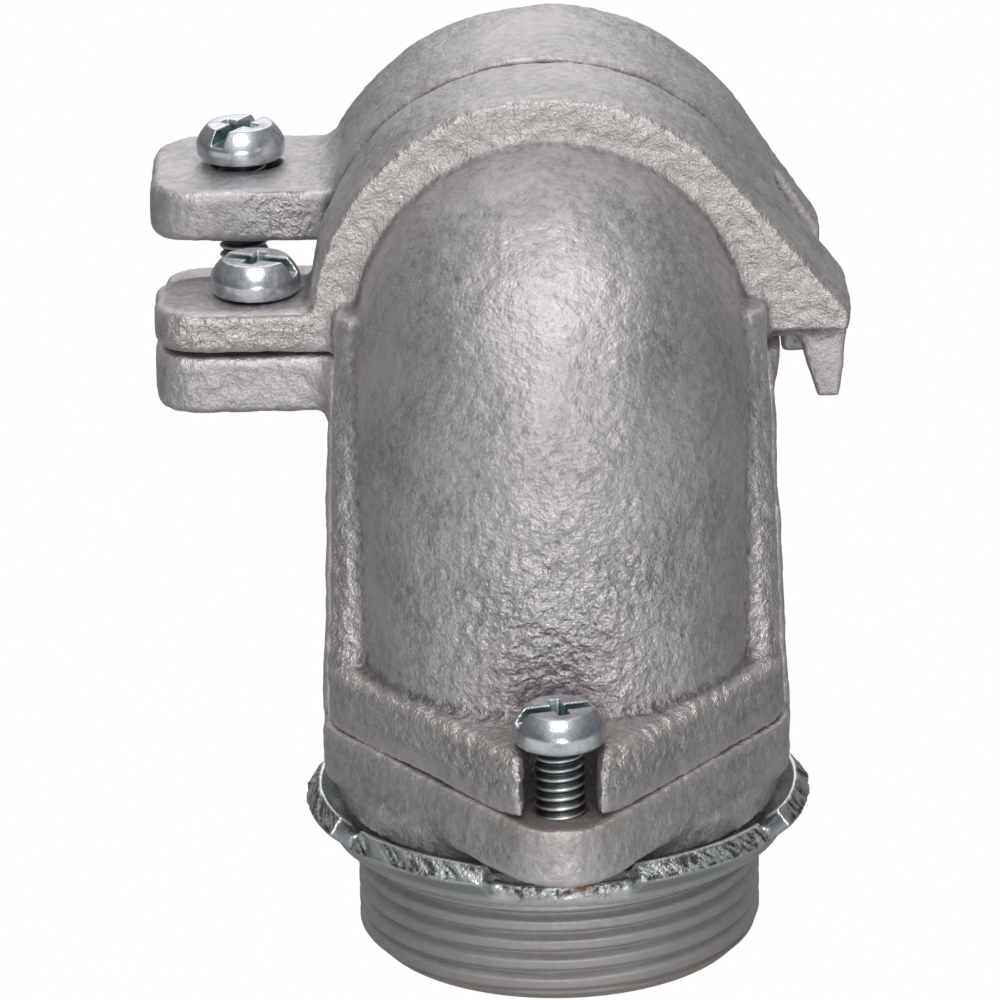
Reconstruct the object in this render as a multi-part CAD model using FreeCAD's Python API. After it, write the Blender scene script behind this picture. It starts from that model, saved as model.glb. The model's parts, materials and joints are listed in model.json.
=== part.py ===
import FreeCAD, Part
import math
import os

V = FreeCAD.Vector

# Lengths are in millimetres and angles in degrees. Z is the axis of the hub, with zero at the
# shoulder that meets the box wall. The conduit leaves along +Y, and the screw ears point to -X.

# Threaded hub
thread_radius = 21.5
thread_pitch = 2.209
thread_depth = 1.0
thread_flank = 30.0
relief_depth = 0.35
relief_length = 4.8
hub_length = 16.1
hub_chamfer = 1.6
shoulder_radius = 23.4
shoulder_height = 2.0

# Wire passage and elbow
bore_radius = 17.4
elbow_wall = 3.0
bend_radius = 8.0
conduit_height = 49.2

# Clamp round the conduit: saddle below, cover collar and strap above
clamp_radius = 21.3
saddle_wall = 3.3
collar_wall = 4.1
strap_wall = 4.4
collar_front = 6.0
collar_depth = 14.5
stop_wall = 4.0
strap_gap = 0.5
strap_depth = 21.5
parting_drop = 2.6
collar_arch_end = 50.0
strap_arch_end = 56.0

# Collar of the body, and the flange and side rims of the cover that sits on it
seat_height = 8.5
front_screw_reach = 27.0
lobe_radius = 6.4
flange_half = 24.2
flange_inset = 0.6
flange_thickness = 7.0
flank_angle = 54.0
collar_corner = 8.0
collar_side = 1.0
slot_width = 7.6
rim_thickness = 4.5
rim_lead = 3.0
rim_bevel = 1.8
rim_taper = 1.6
rim_top_setback = 1.0
rim_rise = 3.0
body_rim_thickness = 4.0

# Screw ears
ear_corner = 5.0
side_screw_offset = 5.7
strap_screw_offset = 7.3
front_ear_tip = 10.8
rear_ear_tip = 8.9
strap_ear_tip = 9.7
body_ear_thickness = 6.2
ear_gap = 0.4
cover_ear_thickness = 4.5
strap_ear_lift = 5.5
strap_ear_thickness = 5.8

# Wing and hanging lip of the cover, on the side away from the ears
wing_offset = 6.4
lip_gap = 1.8
lip_length = 10.6
lip_end_width = 2.3
lip_lean = 1.2
lip_setback = 2.5
band_drop = 2.4

# Hook lug of the body, and the strap's leg with the window that hangs on it
leg_gap = 0.5
leg_wall = 5.0
leg_drop = 5.5
lug_width = 7.0
window_clearance = 1.0
window_height = 13.0
hook_gap = 0.6
nib_drop = 1.3
nib_thickness = 3.0
nib_overhang = 1.0

# Locknut
nut_fit = 0.05
nut_drop = 1.4
nut_thickness = 2.5
nut_ring_radius = 24.3
nut_lug_radius = 27.1
nut_lug_rise = 3.4
nut_lug_span = 38.0
nut_notch_span = 9.0
nut_lug_pairs = 3

# Screws
shank_radius = 2.65
shank_chamfer = 0.6
thread_fit = 0.05
hole_clearance = 0.6
head_radius = 4.8
head_under_radius = 4.2
head_top_radius = 3.9
head_height = 3.7
head_belly = 1.5
recess_width = 1.2
slot_depth = 1.4
cross_length = 5.0
cross_depth = 2.2
cover_screw_length = 12.7
strap_screw_length = 25.4
head_gap = 0.3
front_head_gap = 0.5
strap_head_gap = 0.7
strap_hole_play = 1.0
front_screw_turn = 15.0
side_screw_turn = -20.0
strap_screw_turn = 40.0

# Edges of the castings
edge_bevel = 0.6

# Worked out from the sizes above
overcut = 1.0
hair = 0.001
span = 4 * (conduit_height + strap_depth)
elbow_radius = bore_radius + elbow_wall
bend_height = conduit_height - bend_radius
neck_radius = thread_radius - relief_depth
thread_root = thread_radius - thread_depth
thread_turns = math.floor((hub_length - relief_length - hub_chamfer) / thread_pitch)
saddle_outer = clamp_radius + saddle_wall
collar_outer = clamp_radius + collar_wall
strap_outer = clamp_radius + strap_wall
collar_back = collar_front + collar_depth
strap_front = collar_back + strap_gap
strap_back = strap_front + strap_depth
socket_front = collar_front + stop_wall
parting_height = conduit_height - parting_drop
cover_ear_low = parting_height + ear_gap
cover_ear_top = cover_ear_low + cover_ear_thickness
strap_ear_low = conduit_height + strap_ear_lift
strap_ear_top = strap_ear_low + strap_ear_thickness
side_screw_y = collar_front + collar_depth / 2
strap_screw_y = strap_front + strap_depth / 2
flange_top = seat_height + flange_thickness
flange_lobe = lobe_radius - flange_inset
body_half = flange_half + flange_inset
flank = math.radians(flank_angle)
corner_turn = math.pi / 2 - flank
corner_cut = collar_corner * math.tan(corner_turn / 2)
flange_corner = flange_half * math.tan(flank) - front_screw_reach - flange_lobe / math.cos(flank)
rim_foot = flange_corner + corner_cut
rim_head = collar_front - rim_top_setback
rim_top = conduit_height + rim_rise
side_screw_reach = collar_outer + side_screw_offset
strap_screw_reach = strap_outer + strap_screw_offset
front_ear_reach = side_screw_reach + front_ear_tip
rear_ear_reach = strap_screw_reach + rear_ear_tip
strap_ear_reach = strap_screw_reach + strap_ear_tip
wing_reach = collar_outer + wing_offset
leg_inner = saddle_outer + leg_gap
leg_outer = leg_inner + leg_wall
nib_low = parting_height - nib_drop
nib_top = nib_low + nib_thickness


def side_prism(points, half_width):
    """A (y, z) outline carried straight across the part."""
    corners = [V(-half_width, y, z) for y, z in points]
    face = Part.Face(Part.makePolygon(corners + corners[:1]))
    return face.extrude(V(2 * half_width, 0, 0))


def narrowing(shape, half_width):
    """What of the shape lies between side faces that close in from the seat up to the rims' top."""
    high = half_width - rim_taper
    corners = [V(-half_width, -span, seat_height), V(half_width, -span, seat_height),
               V(high, -span, rim_top), V(-high, -span, rim_top)]
    wedge = Part.Face(Part.makePolygon(corners + corners[:1])).extrude(V(0, 2 * span, 0))
    return shape.common(wedge)


def block(x_low, x_high, y_low, y_high, z_low, z_high):
    """A box between three pairs of planes."""
    return Part.makeBox(x_high - x_low, y_high - y_low, z_high - z_low, V(x_low, y_low, z_low))


def bevelled(shape, chosen, size=edge_bevel):
    """The shape with a bevel on each edge whose box chosen picks."""
    return shape.makeChamfer(size, [edge for edge in shape.Edges if chosen(edge.BoundBox)])


def elbow(radius, end):
    """An elbow of one radius: up from the seat, round the bend, then along the conduit."""
    upright = Part.makeCylinder(radius, bend_height - seat_height, V(0, 0, seat_height))
    level = Part.makeCylinder(radius, end - bend_radius, V(0, bend_radius, conduit_height), V(0, 1, 0))
    pivot = V(0, bend_radius, bend_height)
    crown = Part.Face(Part.Wire(Part.makeCircle(radius, V(0, 0, bend_height))))
    outer_side = Part.makePlane(span, span, V(-span / 2, bend_radius - span, bend_height))
    bend = crown.common(outer_side).Faces[0].revolve(pivot, V(-1, 0, 0), 90)
    return upright.fuse([bend, level]).removeSplitter()


def passage():
    """Everything that stays open inside: the bore, the wire way and the wider socket for the conduit."""
    bore = Part.makeCylinder(bore_radius, hub_length + overcut + seat_height, V(0, 0, -hub_length - overcut))
    wire_way = elbow(bore_radius, socket_front + overcut)
    depth = strap_back + overcut - socket_front
    socket = Part.makeCylinder(clamp_radius, depth, V(0, socket_front, conduit_height), V(0, 1, 0))
    return bore.fuse([wire_way, socket])


def cover_side():
    """The room on the cover's side of the parting face: level seat, leaning sides, level top."""
    return side_prism([(-span, seat_height), (rim_foot, seat_height), (rim_head, parting_height),
                       (span, parting_height), (span, span), (-span, span)], span)


def rims():
    """The cover's plates along the leaning part of the parting face, bevelled down to it in front."""
    plates = side_prism([(rim_foot, seat_height), (rim_head, parting_height), (socket_front, parting_height),
                         (socket_front, rim_top), (rim_head - rim_thickness, rim_top),
                         (rim_foot - rim_lead, flange_top), (rim_foot, flange_top)], flange_half)
    plates = narrowing(plates, flange_half)
    return bevelled(plates, lambda box: box.XLength < flange_half and box.ZMax > rim_top - hair
                    and box.YMax < rim_head, rim_bevel)


def body_rims():
    """The body's plates behind the leaning part of the parting face."""
    run = V(0, rim_head - rim_foot, parting_height - seat_height).normalize()
    behind = V(0, run.z, -run.y) * body_rim_thickness
    plates = side_prism([(rim_foot, seat_height), (rim_head, parting_height),
                         (rim_head + behind.y, parting_height + behind.z),
                         (rim_foot + behind.y, seat_height + behind.z)], body_half)
    return narrowing(plates, body_half)


def collar_plan(half_width, lobe, low, high):
    """Plan of the collar: round behind, straight sides, round corners, then flanks to a round nose."""
    nose_end = V(lobe * math.sin(flank), -front_screw_reach - lobe * math.cos(flank), low)
    along = V(math.cos(flank), math.sin(flank), 0)
    corner = nose_end + along * ((half_width - nose_end.x) / along.x)
    side_start = corner + V(0, corner_cut, 0)
    side_end = side_start + V(0, collar_side, 0)
    inset = collar_corner * (1 - math.cos(corner_turn / 2))
    middle = side_start - V(inset, collar_corner * math.sin(corner_turn / 2), 0)
    right = [nose_end, corner - along * corner_cut, middle, side_start, side_end]
    left = [V(-point.x, point.y, low) for point in right]
    edges = [Part.Arc(left[0], V(0, -front_screw_reach - lobe, low), right[0]).toShape(),
             Part.Arc(left[-1], V(0, side_end.y + half_width, low), right[-1]).toShape()]
    for nose, turn_in, turn, turn_out, end in (right, left):
        edges += [Part.makeLine(nose, turn_in), Part.Arc(turn_in, turn, turn_out).toShape(),
                  Part.makeLine(turn_out, end)]
    return Part.Face(Part.Wire(Part.sortEdges(edges)[0])).extrude(V(0, 0, high - low))


def ear(reach, front, back, low, high):
    """A screw ear pointing to -X, with round outer corners and rounded edges above and below."""
    bevel = ear_corner * (1 - math.sqrt(0.5))
    root = -clamp_radius
    tip = -reach
    near = Part.Arc(V(tip + ear_corner, front, low), V(tip + bevel, front + bevel, low),
                    V(tip, front + ear_corner, low))
    far = Part.Arc(V(tip, back - ear_corner, low), V(tip + bevel, back - bevel, low),
                   V(tip + ear_corner, back, low))
    sides = [Part.makeLine(V(root, front, low), V(tip + ear_corner, front, low)), near.toShape(),
             Part.makeLine(V(tip, front + ear_corner, low), V(tip, back - ear_corner, low)), far.toShape(),
             Part.makeLine(V(tip + ear_corner, back, low), V(root, back, low)),
             Part.makeLine(V(root, back, low), V(root, front, low))]
    plate = Part.Face(Part.Wire(sides)).extrude(V(0, 0, high - low))
    return bevelled(plate, lambda box: box.ZLength < hair and box.XMin < root - hair)


def hood(radius, end, left, tail, front, depth):
    """All that lies under an arch over the conduit.

    The arch starts at the height left and leaves its circle at the angle end from the top. The
    tail's (x, z) corners run on from there, and a straight line closes the outline."""
    turn = math.radians(90 - end)
    start = V(-math.sqrt(radius ** 2 - (left - conduit_height) ** 2), front, left)
    top = V(0, front, conduit_height + radius)
    leave = V(radius * math.cos(turn), front, conduit_height + radius * math.sin(turn))
    corners = [leave] + [V(x, front, z) for x, z in tail] + [start]
    wire = Part.Wire([Part.Arc(start, top, leave).toShape()] + Part.makePolygon(corners).Edges)
    return Part.Face(wire).extrude(V(0, depth, 0))


def on_tangent(radius, end, x):
    """Height where the line that leaves a circle at the angle end from its top reaches x."""
    angle = math.radians(end)
    along = (x - radius * math.sin(angle)) / math.cos(angle)
    return conduit_height + radius * math.cos(angle) - along * math.sin(angle)


def upright_hole(x, y, radius, low, high):
    """A round hole along Z, cut a little past both faces."""
    return Part.makeCylinder(radius, high - low + 2 * overcut, V(x, y, low - overcut))


def thread_groove(height):
    """A groove round the hub between two crests of its thread."""
    mouth = thread_radius + overcut
    half = (mouth - thread_root) * math.tan(math.radians(thread_flank))
    profile = Part.makePolygon([V(thread_root, 0, height), V(mouth, 0, height + half),
                                V(mouth, 0, height - half), V(thread_root, 0, height)])
    return Part.Face(profile).revolve(V(0, 0, 0), V(0, 0, 1), 360)


def hub():
    """The spigot with its thread as rings, and a relief under the shoulder where the locknut rests."""
    thread = Part.makeCylinder(thread_radius, hub_length - relief_length, V(0, 0, -hub_length))
    end = [edge for edge in thread.Edges if edge.BoundBox.ZMax < hub_chamfer - hub_length]
    thread = thread.makeChamfer(hub_chamfer, end)
    neck = Part.makeCylinder(neck_radius, relief_length + overcut, V(0, 0, -relief_length))
    shoulder = Part.makeCylinder(shoulder_radius, shoulder_height + overcut)
    grooves = [thread_groove(-relief_length - (turn + 0.5) * thread_pitch) for turn in range(thread_turns)]
    return thread.cut(grooves).fuse([neck, shoulder])


def hook_lug():
    """The post above the saddle's far wall, with a nib that holds the strap's leg down."""
    low_y = strap_screw_y - lug_width / 2
    high_y = strap_screw_y + lug_width / 2
    reach = leg_outer + nib_overhang
    wall = Part.makeCylinder(saddle_outer, lug_width, V(0, low_y, conduit_height), V(0, 1, 0))
    post = wall.common(block(0, span, low_y, high_y, parting_height - overcut, nib_top))
    nib = block(clamp_radius, reach, low_y, high_y, nib_low, nib_top)
    nib = bevelled(nib, lambda box: box.XMin > reach - hair)
    return post.fuse(nib)


def body():
    """The main casting."""
    collar = collar_plan(body_half, lobe_radius, shoulder_height, seat_height)
    collar = bevelled(collar, lambda box: box.ZMax < shoulder_height + hair)
    saddle = Part.makeCylinder(saddle_outer, strap_back - collar_front,
                               V(0, collar_front, conduit_height), V(0, 1, 0))
    shell = elbow(elbow_radius, socket_front).fuse([body_rims(), saddle]).cut(cover_side())
    ear_low = parting_height - body_ear_thickness
    half = collar_depth / 2
    ears = [ear(front_ear_reach, collar_front, collar_back, ear_low, parting_height),
            ear(rear_ear_reach, strap_screw_y - half, strap_screw_y + half, ear_low, parting_height)]
    tapped = shank_radius + thread_fit
    holes = [upright_hole(0, -front_screw_reach, tapped, shoulder_height, seat_height),
             upright_hole(-side_screw_reach, side_screw_y, tapped, ear_low, parting_height),
             upright_hole(-strap_screw_reach, strap_screw_y, tapped, ear_low, parting_height)]
    casting = shell.fuse([hub(), collar, hook_lug()] + ears)
    return casting.cut([passage()] + holes).removeSplitter()


def cover_collar():
    """The cover's band over the conduit, with its front wall, its wing and the lip that hangs from it."""
    inner = saddle_outer + lip_gap
    wing_low = on_tangent(collar_outer, collar_arch_end, wing_reach)
    lip_low = wing_low - lip_length
    tip = wing_reach - lip_lean
    outside = hood(collar_outer, collar_arch_end, cover_ear_low,
                   [(wing_reach, wing_low), (tip, lip_low), (tip - lip_end_width, lip_low),
                    (inner, cover_ear_low)], collar_front, collar_depth)
    outside = bevelled(outside, lambda box: box.YLength < hair and box.ZMax > wing_low + hair)
    under = cover_ear_low - overcut
    inside = hood(clamp_radius, collar_arch_end, cover_ear_low,
                  [(inner, on_tangent(clamp_radius, collar_arch_end, inner)), (inner, under),
                   (-clamp_radius, under)], socket_front, collar_depth)
    setback = block(0, span, 0, collar_front + lip_setback, 0, wing_low - band_drop)
    return outside.cut([inside, setback])


def cover():
    """The removable outer half of the elbow, with the front collar over the conduit."""
    flange = collar_plan(flange_half, flange_lobe, seat_height, flange_top)
    flange = bevelled(flange, lambda box: box.ZMin > flange_top - hair)
    shell = elbow(elbow_radius, socket_front).fuse([flange, rims()]).common(cover_side())
    tab = ear(front_ear_reach, collar_front, collar_back, cover_ear_low, cover_ear_top)
    half_slot = slot_width / 2
    slot = upright_hole(0, -front_screw_reach, half_slot, seat_height, flange_top)
    mouth = block(-half_slot, half_slot, -span, -front_screw_reach, seat_height - overcut,
                  flange_top + overcut)
    radius = shank_radius + hole_clearance
    hole = upright_hole(-side_screw_reach, side_screw_y, radius, cover_ear_low, cover_ear_top)
    casting = shell.fuse([cover_collar(), tab])
    return casting.cut([passage(), slot, mouth, hole]).removeSplitter()


def strap_ring():
    """The strap's half ring, running into a leg that hangs beside the saddle."""
    low = parting_height - leg_drop
    shoulder = on_tangent(strap_outer, strap_arch_end, leg_outer)
    outside = hood(strap_outer, strap_arch_end, strap_ear_low,
                   [(leg_outer, shoulder), (leg_outer, low), (leg_inner, low), (0, low), (0, strap_ear_low)],
                   strap_front, strap_depth)
    outside = bevelled(outside, lambda box: box.YLength < hair and box.ZMax > strap_ear_low + hair)
    under = low - overcut
    inside = hood(clamp_radius, strap_arch_end, strap_ear_low,
                  [(leg_inner, on_tangent(clamp_radius, strap_arch_end, leg_inner)), (leg_inner, under),
                   (-clamp_radius, under)], strap_front - overcut, strap_depth + 2 * overcut)
    return outside.cut(inside)


def strap():
    """The clamp strap: a half ring with a screw ear, and a leg that hooks on the body's lug."""
    tab = ear(strap_ear_reach, strap_front, strap_back, strap_ear_low, strap_ear_top)
    opening = lug_width / 2 + window_clearance
    bar_top = nib_low - hook_gap
    window = block(0, span, strap_screw_y - opening, strap_screw_y + opening, bar_top,
                   bar_top + window_height)
    radius = shank_radius + hole_clearance
    holes = [upright_hole(side - strap_screw_reach, strap_screw_y, radius, strap_ear_low, strap_ear_top)
             for side in (0, strap_hole_play)]
    joined = block(-strap_screw_reach, strap_hole_play - strap_screw_reach, strap_screw_y - radius,
                   strap_screw_y + radius, strap_ear_low - overcut, strap_ear_top + overcut)
    return strap_ring().fuse(tab).cut([passage(), window, joined] + holes).removeSplitter()


def lug_profile(top, low):
    """Section of a lug: the sheet bent up from the ring, with its sheared end square to the slope."""
    root = V(nut_ring_radius - overcut, 0, low)
    tip = V(nut_lug_radius, 0, low + nut_lug_rise)
    slope = (tip - root).normalize()
    upper = tip + V(-slope.z, 0, slope.x) * nut_thickness
    bend = upper - slope * ((upper.z - top) / slope.z)
    return Part.Face(Part.makePolygon([root, tip, upper, bend, V(bend.x, 0, low), root]))


def locknut():
    """The stamped ring, with bent lugs in pairs and a wide gap between the pairs."""
    top = -nut_drop
    low = top - nut_thickness
    ring = Part.makeCylinder(nut_ring_radius, nut_thickness, V(0, 0, low))
    lug = lug_profile(top, low).revolve(V(0, 0, 0), V(0, 0, 1), nut_lug_span)
    lugs = []
    for pair in range(nut_lug_pairs):
        middle = 90 + pair * 360 / nut_lug_pairs
        for start in (nut_notch_span / 2, -nut_notch_span / 2 - nut_lug_span):
            lugs.append(lug.rotated(V(0, 0, 0), V(0, 0, 1), middle + start))
    bore = upright_hole(0, 0, neck_radius + nut_fit, low, top)
    return ring.fuse(lugs).cut(bore).removeSplitter()


def screw(length, turn):
    """A pan head screw pointing down from its head's underside, with a slot and a cross in the head."""
    profile = Part.makePolygon([V(0, 0, head_height), V(0, 0, -length),
                                V(shank_radius - shank_chamfer, 0, -length),
                                V(shank_radius, 0, shank_chamfer - length), V(shank_radius, 0, 0),
                                V(head_under_radius, 0, 0), V(head_radius, 0, head_belly),
                                V(head_top_radius, 0, head_height), V(0, 0, head_height)])
    blank = Part.Face(profile).revolve(V(0, 0, 0), V(0, 0, 1), 360)
    half = recess_width / 2
    arm = cross_length / 2
    above = head_height + overcut
    slot = block(-2 * head_radius, 2 * head_radius, -half, half, head_height - slot_depth, above)
    cross = [block(-arm, arm, -half, half, head_height - cross_depth, above),
             block(-half, half, -arm, arm, head_height - cross_depth, above)]
    return blank.cut([slot] + cross).rotated(V(0, 0, 0), V(0, 0, 1), turn)


def placed(shape, x, y, z):
    """The shape moved to a place."""
    return shape.translated(V(x, y, z))


def main():
    pieces = {
        "body": body(),
        "cover": cover(),
        "strap": strap(),
        "locknut": locknut(),
        "cover_screw_front": placed(screw(cover_screw_length, front_screw_turn), 0, -front_screw_reach,
                                    flange_top + front_head_gap),
        "cover_screw_side": placed(screw(cover_screw_length, side_screw_turn), -side_screw_reach,
                                   side_screw_y, cover_ear_top + head_gap),
        "strap_screw": placed(screw(strap_screw_length, strap_screw_turn), -strap_screw_reach,
                              strap_screw_y, strap_ear_top + strap_head_gap),
    }
    os.makedirs("parts", exist_ok=True)
    for name, shape in pieces.items():
        shape.exportStep(f"parts/{name}.step")
        print(name, shape.isValid(), len(shape.Solids), round(shape.Volume), shape.BoundBox)


main()
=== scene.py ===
import functools
import json
import math

import bmesh
import bpy
import numpy as np
from bpy.props import FloatProperty, FloatVectorProperty, PointerProperty
from bpy.types import Operator, Panel, PropertyGroup
from mathutils import Matrix, Vector, noise


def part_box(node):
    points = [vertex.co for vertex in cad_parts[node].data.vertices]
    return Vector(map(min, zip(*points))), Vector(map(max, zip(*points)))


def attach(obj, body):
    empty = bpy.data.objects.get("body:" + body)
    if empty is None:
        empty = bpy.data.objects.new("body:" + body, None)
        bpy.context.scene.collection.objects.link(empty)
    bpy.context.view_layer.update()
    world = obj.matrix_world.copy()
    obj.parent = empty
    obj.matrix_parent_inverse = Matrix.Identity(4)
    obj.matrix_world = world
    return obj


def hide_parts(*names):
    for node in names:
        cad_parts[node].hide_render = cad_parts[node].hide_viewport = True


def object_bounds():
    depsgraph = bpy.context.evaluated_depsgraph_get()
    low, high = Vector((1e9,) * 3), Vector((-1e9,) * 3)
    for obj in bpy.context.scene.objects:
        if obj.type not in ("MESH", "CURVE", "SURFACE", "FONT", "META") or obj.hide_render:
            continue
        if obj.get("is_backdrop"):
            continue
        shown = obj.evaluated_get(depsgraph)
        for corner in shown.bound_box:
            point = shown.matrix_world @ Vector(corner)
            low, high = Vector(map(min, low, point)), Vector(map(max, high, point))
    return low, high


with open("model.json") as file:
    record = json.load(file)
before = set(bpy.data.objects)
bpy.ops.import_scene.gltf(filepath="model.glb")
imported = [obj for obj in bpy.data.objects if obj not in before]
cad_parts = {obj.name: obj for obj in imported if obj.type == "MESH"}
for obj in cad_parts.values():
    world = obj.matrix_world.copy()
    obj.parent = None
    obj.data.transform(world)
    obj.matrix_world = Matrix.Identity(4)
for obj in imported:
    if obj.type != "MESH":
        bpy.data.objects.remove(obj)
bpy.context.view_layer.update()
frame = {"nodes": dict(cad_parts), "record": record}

bl_info = {
    "name": "Angled squeeze connector",
    "version": (1, 0, 0),
    "blender": (4, 5, 0),
    "location": "View3D > Sidebar > Connector",
    "description": "Gives the packed connector its cast, stamped and plated surfaces",
    "category": "Object",
}

MM = 0.001
UP = Vector((0, 0, 1))
FRONT = (0, -1, 0)
SPOTS = {  # centre and reach in millimetres
    "low_dome": ((0, -20, 24), (15, 14, 17)),
    "pocket": ((0, -20.4, 19), (5, 5, 5.5)),
    "ledge": ((0, -25, 15.5), (10, 6, 3)),
    "slot_end": ((0, -31, 12), (7, 4, 6)),
    "slot_left": ((-4.4, -32, 12.5), (3.0, 3.6, 6)),
    "slot_right": ((4.4, -32, 12.5), (3.0, 3.6, 6)),
    "lobe": ((0, -28, 8), (7, 6, 3)),
    "rust": ((2, -24, -1.6), (1.3, 1.5, 0.8)),
}
LAMPS = {  # place and size in metres, and share of the key lamp's power
    "key": ((0.0, -0.45, 0.8), 0.42, 1.0),
    "front": ((0.05, -0.95, 0.1), 0.35, 0.8),
    "behind": ((0.0, 0.8, 0.55), 0.6, 0.35),
}


def length(name, description, millimetres):
    """A length property in metres, with its default given in millimetres."""
    return FloatProperty(name=name, description=description, default=millimetres * MM, unit="LENGTH",
                         precision=6)


def share(name, description, default):
    """A property between nought and one."""
    return FloatProperty(name=name, description=description, default=default, min=0, max=1, subtype="FACTOR")


def colour(name, description, default):
    """A linear colour property."""
    return FloatVectorProperty(name=name, description=description, default=default, min=0, max=1,
                               subtype="COLOR")


class CastingSettings(PropertyGroup):
    """Sizes and colours of the three sand castings."""

    body_grid: length("Body grid", "Spacing of the points on the body", 0.5)
    cover_grid: length("Cover grid", "Spacing of the points on the cover", 0.43)
    strap_grid: length("Strap grid", "Spacing of the points on the strap", 0.36)
    edge_reach: length("Edge reach", "How far the moulded roundness of an outer edge reaches", 0.8)
    corner_reach: length("Corner reach", "How far the fillet in an inner corner reaches", 1.8)
    swell_size: length("Swell size", "Width of the slow swells in the surface", 6.0)
    swell_depth: length("Swell depth", "Height of the slow swells", 0.16)
    lump_size: length("Lump size", "Width of the sand lumps", 1.05)
    lump_depth: length("Lump depth", "Height of the sand lumps", 0.105)
    crumb_size: length("Crumb size", "Width of the crumbs on broken faces", 1.05)
    crumb_depth: length("Crumb depth", "Height of the crumbs on broken faces", 0.13)
    pocket_depth: length("Pocket depth", "Depth of the hollow in the dome over the front screw", 0.7)
    cloud_size: length("Cloud size", "Width of the clouds in the plate's colour", 9.0)
    grain_size: length("Grain size", "Width of the sand grains", 1.05)
    fine_size: length("Fine grain size", "Width of the finest grains", 0.34)
    pit_size: length("Pit spacing", "Distance between the pits", 1.1)
    grain_height: length("Grain height", "Height of the grains and pits in the finish", 0.42)
    plated: colour("Plated iron", "Zinc plate over the sand casting", (0.62, 0.595, 0.62))
    shaded: colour("Shaded iron", "Plate in hollows and between the grains", (0.29, 0.275, 0.288))
    # Painted shade: a dark colour laid into the inner corners, where shade falls.
    corner_shade: colour("Corner_shade", "Dirt in the inner corners", (0.17, 0.155, 0.15))
    # Also painted highlight: this bright colour lightens the outer edges, and on the cover the rim edges and
    # the flange's upper edge, where light catches them.
    broken_and_lit: colour("Broken face", "Bright rough faces where gates and flash were knocked off",
                   (0.72, 0.69, 0.665))
    turned: colour("Turned face", "Thin plate on the turned thread", (0.53, 0.52, 0.505))
    stain: colour("Stain", "Brown bloom where water stood by the front screw", (0.36, 0.30, 0.25))
    # Painted shade: a near-black line in the gap between the collar and the strap, where shade falls.
    joint: colour("Joint", "Shadowed dirt in the joint by the strap", (0.06, 0.056, 0.055))


class ThreadSettings(PropertyGroup):
    """Sizes of the hub's pipe thread and of the screws' thread."""

    hub_pitch: length("Hub pitch", "Advance of the hub's thread in one turn", 2.209)
    hub_depth: length("Hub depth", "Height of the hub's thread", 1.0)
    hub_groove: length("Hub groove", "Half the width of the groove between two crests", 0.62)
    hub_runout: length("Hub runout", "Height under the shoulder where the hub's thread has run out", 4.2)
    hub_bore: length("Hub bore", "Radius of the bore through the hub", 17.4)
    hub_chamfer: length("Hub chamfer", "Bevel at the hub's end", 1.6)
    screw_pitch: length("Screw pitch", "Advance of the screws' thread in one turn", 1.058)
    screw_depth: length("Screw depth", "Height of the screws' thread", 0.5)
    screw_groove: length("Screw groove", "Half the width of the groove on a screw", 0.47)


class ScrewSettings(PropertyGroup):
    """Sizes and colours of the three plated screws."""

    head_grid: length("Head grid", "Spacing of the points on a screw head", 0.11)
    head_height: length("Head height", "Height of a pan head", 3.7)
    head_top: length("Top radius", "Radius of the head's flat top", 3.5)
    shank_radius: length("Shank radius", "Radius over the thread's crests", 2.65)
    slot_width: length("Slot width", "Width of the slot across the head", 1.5)
    slot_depth: length("Slot depth", "Depth of the slot", 1.6)
    cross_reach: length("Cross reach", "Half the length of the cross recess", 2.5)
    cross_depth: length("Cross depth", "Depth of the cross recess", 2.3)
    film_size: length("Film size", "Width of the patches in the plate", 2.2)
    fine_size: length("Fine grain size", "Width of the finest grains", 0.22)
    grain_height: length("Grain height", "Height of the patches and grains in the finish", 0.05)
    zinc: colour("Bright zinc", "Bright zinc plate", (0.68, 0.71, 0.74))
    dulled: colour("Dulled zinc", "Greyer patches of the plate", (0.27, 0.3, 0.31))
    passivate: colour("Passivate", "Blue-green film left in the recesses", (0.24, 0.36, 0.37))
    # Painted shade: a near-black colour laid over the threaded shank between its crests, where shade falls.
    root: colour("Thread root", "Dark plate between the thread's crests", (0.07, 0.083, 0.08))
    # Also painted highlight: this bright colour lightens the screws' edges, where light catches them.
    rubbed_and_lit: colour("Rubbed edge", "Plate rubbed bright on the edges", (0.83, 0.84, 0.85))


class LocknutSettings(PropertyGroup):
    """Sizes and colours of the stamped locknut."""

    grid: length("Grid", "Spacing of the points on the locknut", 0.28)
    tear_depth: length("Tear depth", "Depth of the pits torn in the sheared edges", 0.1)
    tear_width: length("Tear width", "Width of the torn pits", 0.6)
    wave_depth: length("Wave depth", "How far the sheared edges stray from their line", 0.25)
    wave_width: length("Wave width", "Width of the strays", 5.0)
    drawn_size: length("Drawn size", "Width of the marks of drawing on the plate", 2.2)
    fine_size: length("Fine grain size", "Width of the finest grains", 0.34)
    grain_height: length("Grain height", "Height of the marks and grains in the finish", 0.12)
    plate: colour("Plate", "Zinc plate on the stamping", (0.6, 0.64, 0.65))
    shadow: colour("Shadow", "Plate in the torn pits", (0.12, 0.112, 0.105))
    # Also painted highlight: this bright colour lightens the locknut's edges, where light catches them.
    rubbed_and_lit: colour("Rubbed edge", "Plate rubbed bright on the edges", (0.8, 0.8, 0.79))
    rust: colour("Rust", "The spot of rust under the front lobe", (0.30, 0.16, 0.09))


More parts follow.
